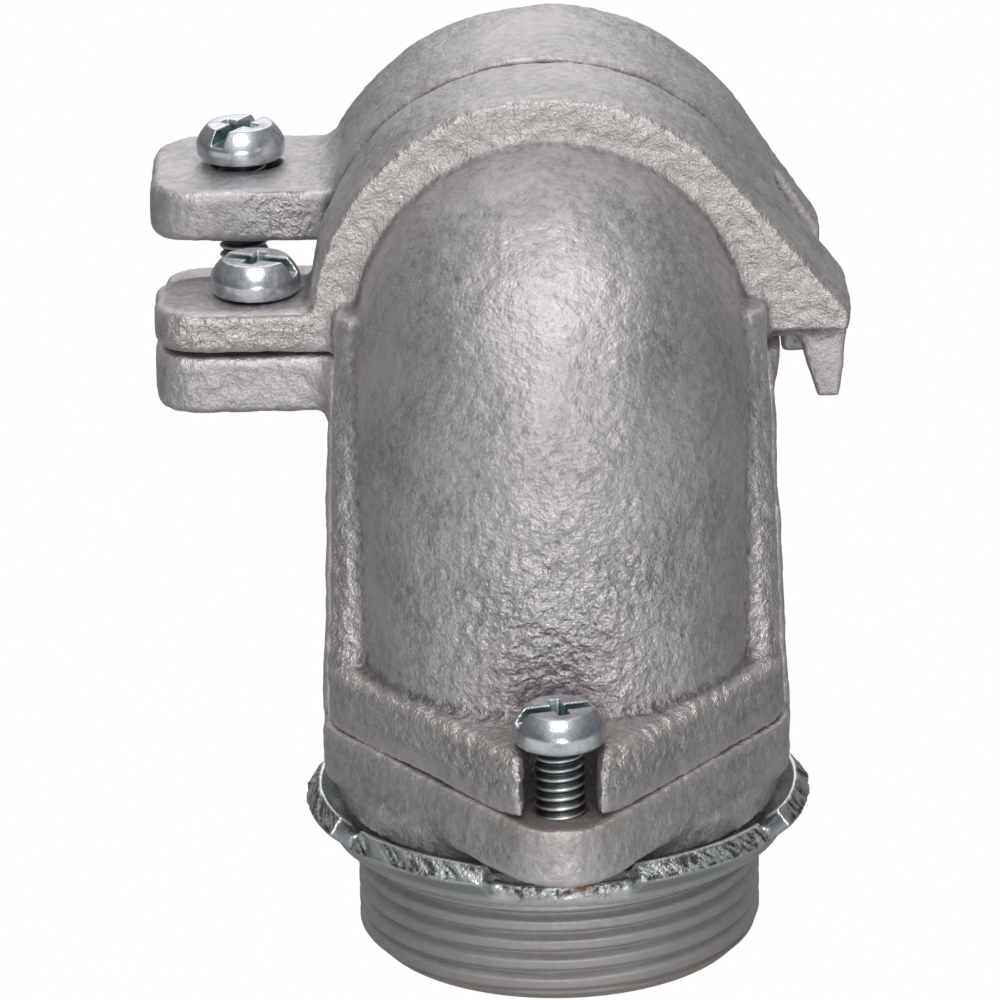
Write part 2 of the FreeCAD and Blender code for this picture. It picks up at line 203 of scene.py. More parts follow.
class StageSettings(PropertyGroup):
    """Camera, light and floor."""

    elevation: FloatProperty(name="Elevation", description="Height of the view above the horizon",
                             default=math.radians(20), subtype="ANGLE")
    roll: FloatProperty(name="Roll", description="Lean of the camera", default=math.radians(-1.1),
                        subtype="ANGLE")
    field: FloatProperty(name="Field of view", description="Angle across the picture",
                         default=math.radians(9.5), subtype="ANGLE")
    distance: length("Distance", "From the camera to the middle of the picture", 633.4)
    target: FloatVectorProperty(name="Target", description="Point in the middle of the picture",
                                default=(-5.6 * MM, 0, 32.4 * MM), subtype="TRANSLATION", precision=6)
    lamp_power: FloatProperty(name="Key power", description="Power of the key lamp in watts", default=2.1)
    ambient: share("Ambient", "Level of the light from all round", 0.45)
    side_dim: share("Side dimness", "How much darker the studio is at both sides", 0.62)
    floor: colour("Floor", "Colour of the floor", (0.82, 0.82, 0.82))


class ConnectorSettings(PropertyGroup):
    """All that a user would change on the connector."""

    casting: PointerProperty(type=CastingSettings)
    thread: PointerProperty(type=ThreadSettings)
    screw: PointerProperty(type=ScrewSettings)
    locknut: PointerProperty(type=LocknutSettings)
    stage: PointerProperty(type=StageSettings)


def settings():
    """The connector's settings in the current scene."""
    return bpy.context.scene.connector


class Link:
    """One output of a shader tree. Sums written with it add Math nodes."""

    def __init__(self, finish, socket):
        self.finish = finish
        self.socket = socket

    def maths(self, operation, first, second):
        node = self.finish.node("ShaderNodeMath", {"operation": operation}, {0: first, 1: second})
        return Link(self.finish, node.outputs[0])

    def __add__(self, other):
        return self.maths("ADD", self, other)

    def __sub__(self, other):
        return self.maths("SUBTRACT", self, other)

    def __rsub__(self, other):
        return self.maths("SUBTRACT", other, self)

    def __mul__(self, other):
        return self.maths("MULTIPLY", self, other)

    __radd__ = __add__
    __rmul__ = __mul__

    def between(self, low, high):
        """The value spread smoothly from nought at low to one at high."""
        node = self.finish.node("ShaderNodeMapRange", {"interpolation_type": "SMOOTHSTEP"},
                                {"Value": self, "From Min": low, "From Max": high})
        return Link(self.finish, node.outputs[0])

    def most(self, other):
        return self.maths("MAXIMUM", self, other)


class Finish:
    """A material, or the world, whose nodes are added one call at a time."""

    def __init__(self, owner):
        owner.use_nodes = True
        self.owner = owner
        self.tree = owner.node_tree
        self.tree.nodes.clear()

    def node(self, kind, options=None, sockets=None):
        """A new node: its options are set first, then its sockets are set or linked."""
        made = self.tree.nodes.new(kind)
        for name, value in (options or {}).items():
            setattr(made, name, value)
        for name, value in (sockets or {}).items():
            if isinstance(value, Link):
                self.tree.links.new(value.socket, made.inputs[name])
            else:
                made.inputs[name].default_value = value
        return made

    def out(self, kind, output, options=None, sockets=None):
        """One output of a new node."""
        return Link(self, self.node(kind, options, sockets).outputs[output])

    def mask(self, name):
        """A value that the mesh holds at each point."""
        return self.out("ShaderNodeAttribute", "Fac", {"attribute_name": name})

    def place(self):
        """The point's own place on the piece."""
        return self.out("ShaderNodeTexCoord", "Object")

    def noise(self, size, detail=2.0, rough=0.5):
        """Noise with features of about that size in metres."""
        return self.out("ShaderNodeTexNoise", "Fac", None,
                        {"Vector": self.place(), "Scale": 1 / size, "Detail": detail, "Roughness": rough})

    def cells(self, size):
        """Distance to the nearest of scattered points about that size apart."""
        return self.out("ShaderNodeTexVoronoi", "Distance", None, {"Vector": self.place(), "Scale": 1 / size})

    def mix(self, factor, first, second):
        """Two colours mixed."""
        return self.out("ShaderNodeMix", 2, {"data_type": "RGBA"},
                        {0: factor, 6: solid(first), 7: solid(second)})

    def bump(self, height, distance):
        """A normal from a height, of which one stands for a distance in metres."""
        return self.out("ShaderNodeBump", "Normal", None,
                        {"Height": height, "Distance": distance, "Strength": 1.0})

    def surface(self, **sockets):
        """Ends the material in one Principled shader."""
        named = {name.replace("_", " ").title(): solid(value) for name, value in sockets.items()}
        shader = self.out("ShaderNodeBsdfPrincipled", 0, None, named)
        self.node("ShaderNodeOutputMaterial", None, {"Surface": shader})
        return self.owner


def solid(value):
    """A colour with its alpha, or anything else as it is."""
    if isinstance(value, (Link, float, int)):
        return value
    return (*value, 1) if len(value) == 3 else value


def new_finish(name):
    """A finish for a new material."""
    return Finish(bpy.data.materials.new(name))


def casting_finish():
    """Zinc plate over sand-cast iron: grains, bright fettled faces, painted shade in the hollows and in the
    joint by the strap, outer edges lightened as painted highlight and wear, a brown bloom.
    """
    look = settings().casting
    finish = new_finish("cast_iron_plated")
    edge = finish.mask("edge")
    broken_and_lit = finish.mask("broken_and_lit")
    sandy = finish.mask("sandy")
    stain = finish.mask("stain")
    turned = finish.mask("turned")
    joint_shadow = finish.mask("joint_shadow")
    clouds = finish.noise(look.cloud_size, 3.0)
    grain = finish.noise(look.grain_size, 2.0, 0.55)
    fine = finish.noise(look.fine_size, 2.0, 0.65)
    pits = finish.cells(look.pit_size)
    hollow = (0.45 - edge).between(0.0, 0.32)
    tone = (clouds * 0.4 + grain * 0.35 + fine * 0.25).between(0.2, 0.62)
    base = finish.mix(tone, look.shaded, look.plated)
    # Painted shade: the inner corners are darkened towards this colour, as if shade fell there.
    base = finish.mix(hollow * (0.5 + clouds * 0.4), base, look.corner_shade)
    # Bright fettled faces; on the cover this mask also carries painted highlight on the rim edges and the
    # flange's upper edge.
    base = finish.mix((broken_and_lit * (0.4 + fine * 0.7)).between(0.1, 0.9) * 0.8, base, look.broken_and_lit)
    # Painted highlight and wear: the outer edges are lightened towards the bright colour.
    base = finish.mix(edge.between(0.58, 0.9) * (0.3 + fine * 0.6), base, look.broken_and_lit)
    base = finish.mix(turned * 0.8, base, look.turned)
    base = finish.mix((stain * (0.4 + grain)).between(0.15, 0.8) * 0.75, base, look.stain)
    base = finish.mix(sandy * (grain * 0.75 + fine * 0.25).between(0.42, 0.6) * 0.5, base, look.broken_and_lit)
    # Painted shade in the gap between the collar and the strap.
    base = finish.mix(joint_shadow * 0.75, base, look.joint)
    coarse = grain * (0.1 + sandy * 1.45) + fine * (0.16 + sandy * 0.2 + broken_and_lit * 0.3)
    height = (coarse - (0.35 - pits).between(0.0, 0.35) * 0.1) * (1 - turned * 0.8)
    rough = 0.54 - sandy * 0.16 + hollow * 0.1 + turned * 0.08 + (fine - 0.5) * 0.25 + stain * 0.15
    return finish.surface(base_color=base, metallic=0.94, roughness=rough,
                          normal=finish.bump(height, look.grain_height))


def locknut_finish():
    """Zinc plate on a stamping: smooth drawn faces and torn edges."""
    look = settings().locknut
    finish = new_finish("stamped_zinc")
    torn = finish.mask("torn")
    streak = finish.mask("streak")
    edge = finish.mask("edge")
    rust = finish.mask("rust")
    drawn = finish.noise(look.drawn_size, 3.0, 0.6)
    fine = finish.noise(look.fine_size, 2.0, 0.6)
    base = finish.mix((drawn * 0.7 + fine * 0.3).between(0.3, 0.7) * 0.15, look.plate, look.shadow)
    pitted = (streak * 0.4 + drawn * 0.35 + fine * 0.25).between(0.42, 0.6)
    base = finish.mix(torn * pitted, base, look.shadow)
    # Painted highlight and wear: the locknut's edges are lightened.
    base = finish.mix(edge.between(0.62, 0.95) * 0.6, base, look.rubbed_and_lit)
    base = finish.mix((rust * (0.4 + fine)).between(0.2, 0.8), base, look.rust)
    rough = 0.26 + torn * 0.12 + rust * 0.3 + (drawn - 0.5) * 0.2 + (fine - 0.5) * 0.12
    height = drawn * 0.3 + fine * (0.08 + torn * 1.2)
    return finish.surface(base_color=base, metallic=1.0, roughness=rough,
                          normal=finish.bump(height, look.grain_height))


def screw_finish():
    """Bright zinc with a blue-green film in the recesses, painted shade on the thread with its crests left
    bright, and edges lightened as painted highlight and wear.
    """
    look = settings().screw
    finish = new_finish("bright_zinc")
    recess = finish.mask("recess")
    thread = finish.mask("thread")
    edge = finish.mask("edge")
    film = finish.noise(look.film_size, 3.0, 0.6)
    fine = finish.noise(look.fine_size, 2.0, 0.6)
    base = finish.mix(film.between(0.42, 0.64) * 0.55, look.zinc, look.dulled)
    base = finish.mix((recess * (0.5 + film)).between(0.2, 0.9) * 0.85, base, look.passivate)
    # Painted shade: the threaded shank is darkened except on its crests.
    base = finish.mix(thread * (1 - edge.between(0.7, 0.95)) * 0.92, base, look.root)
    # Painted highlight and wear: the screws' edges are lightened, less on the thread.
    base = finish.mix(edge.between(0.65, 0.95) * (1 - thread * 0.6) * 0.5, base, look.rubbed_and_lit)
    rough = 0.24 + recess * 0.14 + thread * 0.14 + (film - 0.5) * 0.16 + (fine - 0.5) * 0.1
    height = fine * 0.4 + film * 0.6
    return finish.surface(base_color=base, metallic=1.0, roughness=rough,
                          normal=finish.bump(height, look.grain_height))


def finish_named(make, name):
    """A finish that several pieces share, made the first time it is asked for."""
    return bpy.data.materials.get(name) or make()


class Skin:
    """The points and edges of a mesh as arrays, to move a whole surface at once."""

    def __init__(self, mesh):
        self.mesh = mesh
        self.points = self.read(mesh.vertices, "co", 3)
        self.edges = self.read(mesh.edges, "vertices", 2).astype(int)
        self.count = len(self.points)
        self.degree = np.maximum(np.bincount(self.edges.ravel(), minlength=self.count), 1)

    def read(self, items, name, width):
        values = np.empty(len(items) * width, np.int32 if name == "vertices" else np.float32)
        items.foreach_get(name, values)
        return values.reshape(-1, width).astype(float)

    def around(self, values):
        """The mean of each point's neighbours."""
        near, far = self.edges.T
        total = [np.bincount(near, column[far], self.count) + np.bincount(far, column[near], self.count)
                 for column in values.T]
        return np.stack(total, 1) / self.degree[:, None]

    def soften(self, values, steps):
        """One value for each point, blurred over the surface."""
        for _ in range(steps):
            values = 0.5 * values + 0.5 * self.around(values[:, None])[:, 0]
        return values

    def relax(self, steps, weight=0.5):
        """Draws the points towards their neighbours, which rounds edges and fills corners."""
        for _ in range(steps):
            self.points += weight * (self.around(self.points) - self.points)

    def normals(self):
        """The outward direction at each point."""
        self.write()
        return self.read(self.mesh.vertices, "normal", 3)

    def bend(self):
        """How much the surface bulges at each point, in points' spacings: hollows are negative."""
        offset = self.points - self.around(self.points)
        spacing = np.linalg.norm(self.points[self.edges[:, 0]] - self.points[self.edges[:, 1]], axis=1).mean()
        return (offset * self.normals()).sum(1) / spacing

    def write(self):
        self.mesh.vertices.foreach_set("co", self.points.astype(np.float32).ravel())
        self.mesh.update()

    def hold(self, name, values):
        """Keeps one value for each point for the finish to read."""
        layer = self.mesh.attributes.get(name) or self.mesh.attributes.new(name, "FLOAT", "POINT")
        layer.data.foreach_set("value", np.clip(values, 0, 1).astype(np.float32))


def fractal(points, size, octaves=2):
    """Smooth noise at each point, about from minus one to one, with features of that size."""
    return np.array([noise.fractal(point, 1.0, 2.0, octaves) for point in (points / size).tolist()]) * 1.4


def ramp(values, low, high):
    """Values spread smoothly from nought at low to one at high."""
    part = np.clip((values - low) / (high - low), 0, 1)
    return part * part * (3 - 2 * part)


def facing(normals, direction, low=0.6, high=0.9):
    """One where the surface faces a direction."""
    return ramp(normals @ np.array(direction, float), low, high)


def near(points, centre, reach):
    """A soft spot round a point."""
    away = np.linalg.norm((points - np.array(centre)) / np.array(reach), axis=1)
    return np.exp(-away ** 2)


def spot(points, name):
    """The soft spot of that name."""
    centre, reach = SPOTS[name]
    return near(points, np.array(centre) * MM, np.array(reach) * MM)


def above(points, low, high):
    """Nought below one height and one above another, both in millimetres."""
    return ramp(points[:, 2], low * MM, high * MM)


def ear_fronts(points, out):
    """One on the front faces of the ears."""
    return facing(out, FRONT) * ramp(-points[:, 0], 25 * MM, 27 * MM)


def mesh_from(name, points, faces):
    """A mesh from lists of points and faces."""
    mesh = bpy.data.meshes.new(name)
    mesh.from_pydata([tuple(point) for point in points], [], [tuple(face) for face in faces])
    mesh.update()
    return mesh


def ring_mesh(name, rings, joined):
    """A mesh through rings of points: the last ring joins the first, or both ends are capped."""
    rows, steps = rings.shape[:2]
    faces = []
    for row in range(rows if joined else rows - 1):
        here = row * steps
        there = (row + 1) % rows * steps
        faces += [(here + step, here + (step + 1) % steps, there + (step + 1) % steps, there + step)
                  for step in range(steps)]
    if not joined:
        faces += [range(steps - 1, -1, -1), range((rows - 1) * steps, rows * steps)]
    return mesh_from(name, rings.reshape(-1, 3), faces)


def turned_rings(radii, heights, steps):
    """Rings about Z: a radius for each ring, or for each ring and step."""
    angles = np.arange(steps) * 2 * math.pi / steps
    radii = np.array(radii, float)
    if radii.ndim == 1:
        radii = np.repeat(radii[:, None], steps, 1)
    heights = np.repeat(np.array(heights, float)[:, None], steps, 1)
    return np.stack([radii * np.cos(angles), radii * np.sin(angles), heights], 2)


def thread_depth(heights, steps, pitch, groove):
    """How deep a right-hand thread is cut at each ring and step: nought on the crest, one at the bottom of the
    groove.
    """
    turn = np.arange(steps) / steps
    phase = (np.array(heights)[:, None] / pitch - turn[None, :]) % 1
    return np.clip(1 - np.abs(phase - 0.5) * pitch / groove, 0, 1)


def linked(mesh):
    """A new object of a mesh, in the scene."""
    made = bpy.data.objects.new(mesh.name, mesh)
    bpy.context.scene.collection.objects.link(made)
    return made


def evaluated(made):
    """The object's mesh with its modifiers applied. The object itself is removed."""
    graph = bpy.context.evaluated_depsgraph_get()
    mesh = bpy.data.meshes.new_from_object(made.evaluated_get(graph))
    bpy.data.objects.remove(made)
    return mesh


def regrid(mesh, spacing, cutters=()):
    """The mesh, less the cutters, on an even grid of points."""
    made = linked(mesh)
    tools = [linked(cutter) for cutter in cutters]
    for tool in tools:
        cut = made.modifiers.new("cut", "BOOLEAN")
        cut.object = tool
        cut.operation = "DIFFERENCE"
        cut.solver = "EXACT"
    grid = made.modifiers.new("grid", "REMESH")
    grid.mode = "VOXEL"
    grid.voxel_size = spacing
    even = evaluated(made)
    for tool in tools:
        bpy.data.objects.remove(tool)
    return even


def joined_mesh(name, first, second):
    """Two meshes as one closed skin, with nothing left inside."""
    made = linked(first)
    tool = linked(second)
    join = made.modifiers.new("join", "BOOLEAN")
    join.object = tool
    join.operation = "UNION"
    join.solver = "EXACT"
    whole = evaluated(made)
    whole.name = name
    bpy.data.objects.remove(tool)
    work = bmesh.new()
    work.from_mesh(whole)
    sliver = 0.004 * MM
    bmesh.ops.triangulate(work, faces=work.faces)
    bmesh.ops.dissolve_degenerate(work, edges=work.edges, dist=sliver)
    work.to_mesh(whole)
    work.free()
    return whole


def node_mesh(node, floor=None):
    """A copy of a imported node's mesh, cut off below a height if one is given."""
    work = bmesh.new()
    work.from_mesh(frame["nodes"][node].data)
    bmesh.ops.remove_doubles(work, verts=work.verts, dist=1e-7)
    if floor is not None:
        everything = work.verts[:] + work.edges[:] + work.faces[:]
        bmesh.ops.bisect_plane(work, geom=everything, plane_co=(0, 0, floor), plane_no=UP, clear_inner=True)
        rim = [edge for edge in work.edges if edge.is_boundary]
        bmesh.ops.triangle_fill(work, use_beauty=True, edges=rim)
    mesh = bpy.data.meshes.new(node + "_rough")
    work.to_mesh(mesh)
    work.free()
    return mesh


def keep_inside(skin, node):
    """Holds the points within the box of the node that they stand for."""
    low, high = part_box(node)
    skin.points = np.clip(skin.points, low, high)


def dressed(mesh, name, node, body, finish):
    """The finished piece: it replaces a node and moves with its body."""
    mesh.name = name
    for face in mesh.polygons:
        face.use_smooth = True
    mesh.materials.clear()
    mesh.materials.append(finish)
    piece = linked(mesh)
    piece.name = name
    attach(piece, body)
    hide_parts(node)
    return piece


def hollows(skin, slight, full):
    """One in the inner corners, from how much the surface caves in there, in points' spacings."""
    return ramp(-skin.soften(skin.bend(), 2), slight, full)


def smooth_casting(mesh, spacing, sharp_foot=0.0):
    """A casting's rounded skin: small radii on outer edges, larger fillets in corners above its foot."""
    look = settings().casting
    skin = Skin(mesh)
    skin.relax(max(2, round((look.edge_reach / spacing) ** 2)))
    hollow = hollows(skin, 0.006, 0.03)
    reach = round(look.corner_reach / spacing)
    weight = np.clip(skin.soften(hollow, reach) * 1.6, 0, 1) * 0.5
    fade = 2 * MM
    weight = weight * ramp(skin.points[:, 2], sharp_foot - fade, sharp_foot + fade)
    skin.relax(reach * reach, weight[:, None])
    return skin


def fill_corner(skin, centre, reach):
    """A wide fillet in the inner corners near a point."""
    hollow = hollows(skin, 0.003, 0.015) * near(skin.points, centre, reach)
    weight = np.clip(skin.soften(hollow, 8) * 3, 0, 1) * 0.5
    skin.relax(120, weight[:, None])


def wear_edges(skin, name):
    """Rounds the outer edges in the spot of that name."""
    skin.relax(60, 0.5 * spot(skin.points, name)[:, None])


def sand_skin(skin, node, sandy, broken_and_lit, free=1.0):
    """Gives a casting its swells, sand lumps and crumbs where it is free, and holds the finish's masks."""
    look = settings().casting
    clean = skin.soften(skin.bend(), 2)
    out = skin.normals()
    swell = fractal(skin.points, look.swell_size) * look.swell_depth
    lumps = fractal(skin.points, look.lump_size) * look.lump_depth * (0.35 + sandy)
    crumbs = (fractal(skin.points, look.crumb_size) - 0.5) * look.crumb_depth * broken_and_lit
    skin.points += out * ((swell + lumps + crumbs) * free)[:, None]
    keep_inside(skin, node)
    skin.write()
    skin.hold("edge", 0.5 + skin.soften(clean * 4 + skin.bend() * 1.5, 1))
    skin.hold("sandy", sandy)
    skin.hold("broken_and_lit", broken_and_lit)


def hub_mesh():
    """The hub as a tube with its pipe thread outside."""
    cut = settings().thread
    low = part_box("body")[0].z
    crest = frame["record"]["mounts"][0]["dims"]["r_mm"] * MM
    steps = 216
    ring_gap = 0.15 * MM
    top = 1.2 * MM
    flare_height = -0.1 * MM
    runout_depth = 0.55
    heights = np.arange(low, top, ring_gap)
    runout = ramp(heights, -cut.hub_runout - cut.hub_pitch, -cut.hub_runout)[:, None]
    valley = thread_depth(heights, steps, cut.hub_pitch, cut.hub_groove)
    valley = valley * (1 - runout) + runout * runout_depth
    outer = crest - valley * cut.hub_depth
    bevel = crest - np.clip(cut.hub_chamfer - (heights - low), 0, None)[:, None]
    outer = np.minimum(outer, bevel)
    flare = cut.hub_bore + 0.8 * MM
    inner = np.repeat([[flare], [cut.hub_bore], [cut.hub_bore]], steps, 1)
    radii = np.concatenate([outer, inner])
    return ring_mesh("hub_thread", turned_rings(radii, [*heights, top, flare_height, low], steps), True)


def body_casting():
    """The body: saddle, ears, collar and lug on a grid, with the threaded hub below the shoulder."""
    look = settings().casting
    spacing = look.body_grid
    skin = smooth_casting(regrid(node_mesh("body", 0.0), spacing), spacing, -2 * MM)
    out = skin.normals()
    ear_front = ear_fronts(skin.points, out)
    sand_skin(skin, "body", np.full(skin.count, 0.25), ear_front * 0.4)
    whole = joined_mesh("body_casting", skin.mesh, hub_mesh())
    skin = Skin(whole)
    turned = ramp(-skin.points[:, 2], 0.0, 0.4 * MM)
    skin.hold("turned", turned)
    bulge = skin.soften(skin.bend(), 1)
    edge = np.where(turned > 0.5, 0.5 + bulge * 3, skin.read(whole.attributes["edge"].data, "value", 1)[:, 0])
    skin.hold("edge", edge)
    low_hub = ramp(-skin.points[:, 2], 11 * MM, 16 * MM) * 0.5
    skin.hold("stain", spot(skin.points, "lobe") + low_hub)
    return dressed(whole, "body_casting", "body", "fitting",
                   finish_named(casting_finish, "cast_iron_plated"))


def clear_of(node, points):
    """Nought under the head and in the hole of a screw, and one further out."""
    low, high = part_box(node)
    away = np.hypot(points[:, 0] - (low.x + high.x) / 2, points[:, 1] - (low.y + high.y) / 2)
    return ramp(away, 4.5 * MM, 6.5 * MM)


def joint_shadow_line(points):
    """One along the joint between the cover's collar and the strap, where a line of painted shade goes."""
    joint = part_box("strap")[0].y
    on_ring = above(points, 50, 54) * ramp(points[:, 0], -24.5 * MM, -23.5 * MM)
    half_width = 0.3 * MM
    return np.exp(-((points[:, 1] - joint) / half_width) ** 2) * on_ring


def cover_casting():
    """The cover: dome, flange, rims, collar and lip, sandiest low on the dome."""
    look = settings().casting
    spacing = look.cover_grid
    skin = smooth_casting(regrid(node_mesh("cover"), spacing), spacing, 16.5 * MM)
    wear_edges(skin, "slot_left")
    wear_edges(skin, "slot_right")
    points = skin.points
    out = skin.normals()
    bulge = ramp(skin.soften(skin.bend(), 2), 0.008, 0.035)
    band = facing(out, FRONT) * above(points, 46, 49) * ramp(points[:, 1], 4 * MM, 5.5 * MM)
    ear_front = ear_fronts(points, out)
    mirrored = np.column_stack([np.abs(points[:, 0]), points[:, 1]])
    # Painted highlight: the inner top edges of both rims are made sandy and bright, where light catches them.
    rim_edge_highlight = near(mirrored, (22.5 * MM, -3 * MM), (3 * MM, 3 * MM)) * above(points, 14, 17)
    flange_front = facing(out, FRONT, 0.4, 0.6) * above(points, 10.5, 11.5) * (1 - above(points, 15.5, 17))
    smooth_foot = 1 - above(points, 10.0, 11.5)
    sandy = 0.12 + spot(points, "low_dome") * 0.88 + band * 0.22 + ear_front * 0.35 + rim_edge_highlight * 0.6
    sandy = np.clip(sandy + flange_front * 0.3 - smooth_foot * 0.3, 0, 1)
    # Painted highlight: the flange's upper edge is added to the bright-face mask, where light catches it.
    flange_rim_highlight = bulge * above(points, 12.5, 13.5) * (1 - above(points, 19, 22))
    broken_and_lit = np.clip(band + ear_front + spot(points, "slot_end") * 0.8 + rim_edge_highlight * 0.7 + flange_rim_highlight, 0, 1)
    pocket = spot(points, "pocket")
    skin.points += np.array((0, look.pocket_depth, 0)) * pocket[:, None]
    sand_skin(skin, "cover", sandy, broken_and_lit)
    skin.hold("stain", spot(points, "ledge") * 0.9 + pocket * 0.4)
    skin.hold("joint_shadow", joint_shadow_line(points))
    return dressed(skin.mesh, "cover_casting", "cover", "fitting",
                   finish_named(casting_finish, "cast_iron_plated"))


def strap_casting():
    """The strap: half ring, ear and hooked leg."""
    look = settings().casting
    spacing = look.strap_grid
    skin = smooth_casting(regrid(node_mesh("strap"), spacing), spacing)
    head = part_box("strap_screw")
    ear_top = head[1].z - settings().screw.head_height
    fill_corner(skin, (-25.5 * MM, (head[0].y + head[1].y) / 2, ear_top), (4 * MM, 16 * MM, 4 * MM))
    ear_front = ear_fronts(skin.points, skin.normals())
    by_ring = 1 - ramp(-skin.points[:, 0], 29 * MM, 34 * MM)
    sand_skin(skin, "strap", 0.12 + ear_front * by_ring * 0.5, ear_front * (0.1 + by_ring * 0.5),
              clear_of("strap_screw", skin.points))
    skin.hold("joint_shadow", joint_shadow_line(skin.points))
    return dressed(skin.mesh, "strap_casting", "strap", "strap",
                   finish_named(casting_finish, "cast_iron_plated"))


def locknut():
    """The locknut: a stamped ring whose sheared edges stray and are torn into pits."""
    look = settings().locknut
    skin = Skin(regrid(node_mesh("locknut"), look.grid))
    skin.relax(5)
    out = skin.normals()
    reach = np.hypot(skin.points[:, 0], skin.points[:, 1])
    across = (out[:, 0] * skin.points[:, 0] + out[:, 1] * skin.points[:, 1]) / reach
    around = np.arctan2(skin.points[:, 1], skin.points[:, 0]) * reach
    sheet = np.stack([around, reach * 0, skin.points[:, 2] * 0.6], 1)
    streak = fractal(sheet, look.tear_width, 3)
    wave = fractal(sheet, look.wave_width) - 0.6
    fray = fractal(sheet, look.tear_width * 3) * 0.5 * MM
    torn = ramp(across, 0.45, 0.7) * ramp(reach, 23.2 * MM, 23.7 * MM) * ramp(out[:, 2], -0.5, -0.2)
    torn = torn * ramp(skin.points[:, 2] + fray, -3.0 * MM, -2.3 * MM) * ramp(wave, -1.2, -0.8)
    torn = skin.soften(torn, 2)
    pull = torn * ((streak - 0.3) * look.tear_depth + wave * look.wave_depth)
    skin.points += out * pull[:, None]
    keep_inside(skin, "locknut")
    skin.write()
    skin.hold("torn", torn)
    skin.hold("streak", 0.5 - streak * 0.5)
    skin.hold("edge", 0.5 + skin.soften(skin.bend(), 1) * 3)
    skin.hold("rust", spot(skin.points, "rust"))
    return dressed(skin.mesh, "locknut_stamping", "locknut", "locknut",
                   finish_named(locknut_finish, "stamped_zinc"))


def slab(name, half_x, half_y, low, high, taper=1.0):
    """A block about Z, narrowed to a share of its size at its lower end."""
    corners = np.array([(-half_x, -half_y), (half_x, -half_y), (half_x, half_y), (-half_x, half_y)])
    lower = np.column_stack([corners * taper, np.full(4, low)])
    upper = np.column_stack([corners, np.full(4, high)])
    return ring_mesh(name, np.stack([lower, upper]), False)


def head_mesh(turn):
    """A pan head with a slot across it and a cross recess, its underside at nought."""
    look = settings().screw
    tall = look.head_height
    belly = 4.8 * MM
    rise = np.linspace(0, 1, 17)
    side = belly - (belly - look.head_top) * np.clip((rise - 0.4) / 0.6, 0, 1) ** 1.7
    tuck = 0.35 * MM
    side = side - tuck * np.clip(1 - rise / 0.25, 0, 1) ** 2
    radii = [look.shank_radius * 0.9, *side, look.head_top * 0.6]
    heights = [0, *(tall * rise), tall]
    blank = ring_mesh("head", turned_rings(radii, heights, 96), False)
    half = look.slot_width / 2
    over = tall + MM
    right_across = 8 * MM
    narrowing = 0.55
    cutters = [slab("slot", right_across, half, tall - look.slot_depth, over),
               slab("arm", look.cross_reach, half, tall - look.cross_depth, over, narrowing),
               slab("arm", half, look.cross_reach, tall - look.cross_depth, over, narrowing)]
    for mesh in [blank, *cutters]:
        mesh.transform(Matrix.Rotation(turn, 4, "Z"))
    return regrid(blank, look.head_grid, cutters)


def shank_mesh(size):
    """A threaded shank of that length, hanging from nought."""
    look = settings().screw
    cut = settings().thread
    steps = 56
    ring_gap = 0.085 * MM
    into_head = 0.4 * MM
    bevel = 0.7 * MM
    heights = np.arange(-size, into_head, ring_gap)
    valley = thread_depth(heights, steps, cut.screw_pitch, cut.screw_groove)
    radii = look.shank_radius - valley * cut.screw_depth
    point = look.shank_radius - np.clip(bevel - (heights + size), 0, None)[:, None]
    return ring_mesh("shank", turned_rings(np.minimum(radii, point), heights, steps), False)


def screw(node, body, turn):
    """One screw in the place of its node."""
    look = settings().screw
    low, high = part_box(node)
    under = high.z - look.head_height
    head = Skin(head_mesh(turn))
    head.relax(3)
    head.write()
    whole = joined_mesh(node + "_plated", head.mesh, shank_mesh(under - low.z))
    skin = Skin(whole)
    height = skin.points[:, 2].copy()
    reach = np.hypot(skin.points[:, 0], skin.points[:, 1])
    skin.hold("thread", ramp(-height, -0.1 * MM, 0.1 * MM))
    deep = ramp(look.head_height - height, 0.25 * MM, 0.7 * MM) * ramp(height, 0.6 * MM, 0.9 * MM)
    inside = 1 - ramp(reach, look.head_top - 0.35 * MM, look.head_top)
    skin.hold("recess", deep * inside)
    skin.hold("edge", 0.5 + skin.soften(skin.bend(), 1) * 4)
    skin.points += np.array(((low.x + high.x) / 2, (low.y + high.y) / 2, under))
    keep_inside(skin, node)
    skin.write()
    return dressed(whole, node + "_plated", node, body, finish_named(screw_finish, "bright_zinc"))


def seen_by(finish, *kinds):
    """One on the rays of those kinds."""
    rays = finish.node("ShaderNodeLightPath")
    links = [Link(finish, rays.outputs[f"Is {kind} Ray"]) for kind in kinds]
    return functools.reduce(Link.most, links)


